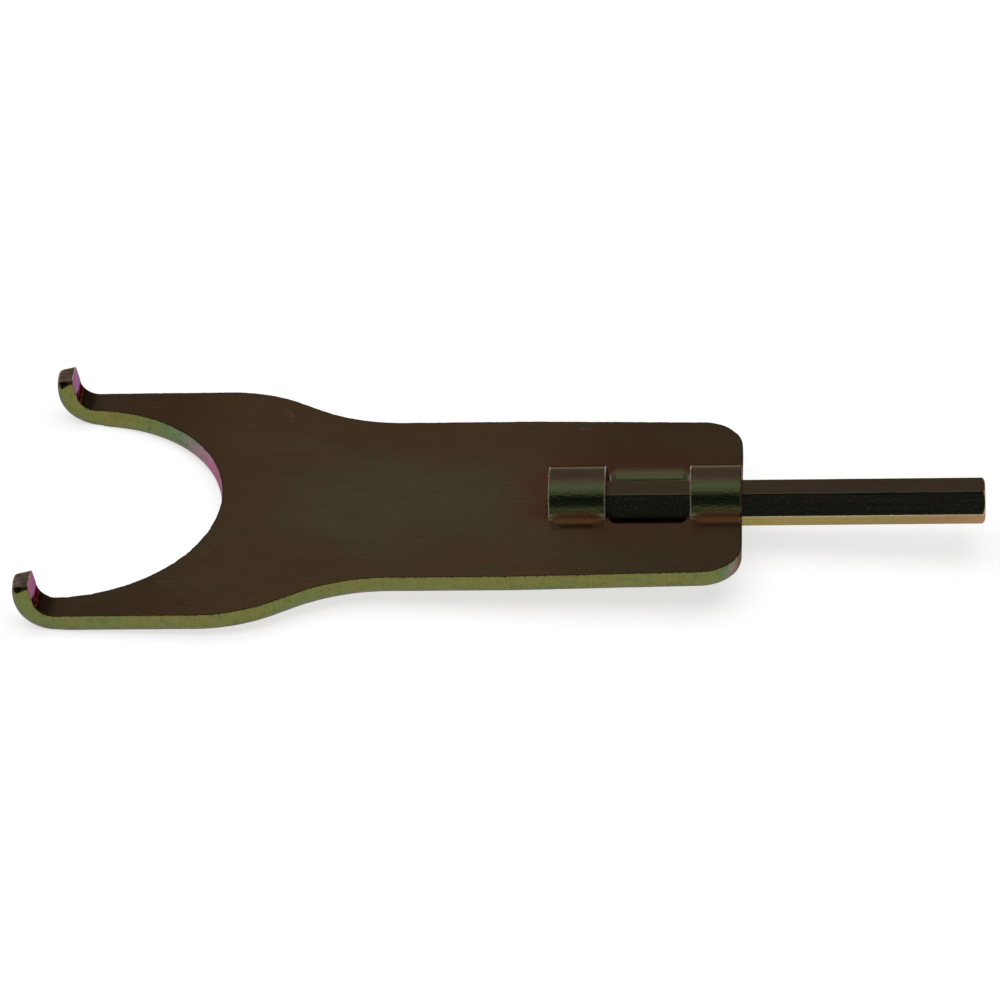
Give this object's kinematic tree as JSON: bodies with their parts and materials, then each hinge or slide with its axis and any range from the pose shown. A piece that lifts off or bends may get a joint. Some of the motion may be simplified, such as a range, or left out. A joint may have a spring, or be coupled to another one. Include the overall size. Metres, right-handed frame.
{
  "type": "fire hydrant wrench",
  "caption": "Flat forked wrench with a half-round jaw, upturned claws on its arms and a hexagonal drive bar gripped in a formed socket at its tail.",
  "frame": {"origin": "centre of the half-round jaw, on the mid-plane of the plate, which also holds the axis of the bar", "axes": "+X from the jaw to the free end of the bar, +Z the side to which the claws point, +Y across the plate"},
  "size_m": [0.2974, 0.1156, 0.0271],
  "materials": {
    "plate_finish": "zinc plated with a glossy iridescent yellow chromate, darker and browner from above, green to pink on the edges",
    "bar_finish": "drawn hexagonal bar, zinc plated with a glossy yellow chromate"
  },
  "bodies": {
    "root": {"fork_plate": "plate_finish", "hex_bar": "bar_finish"}
  },
  "joints": []
}
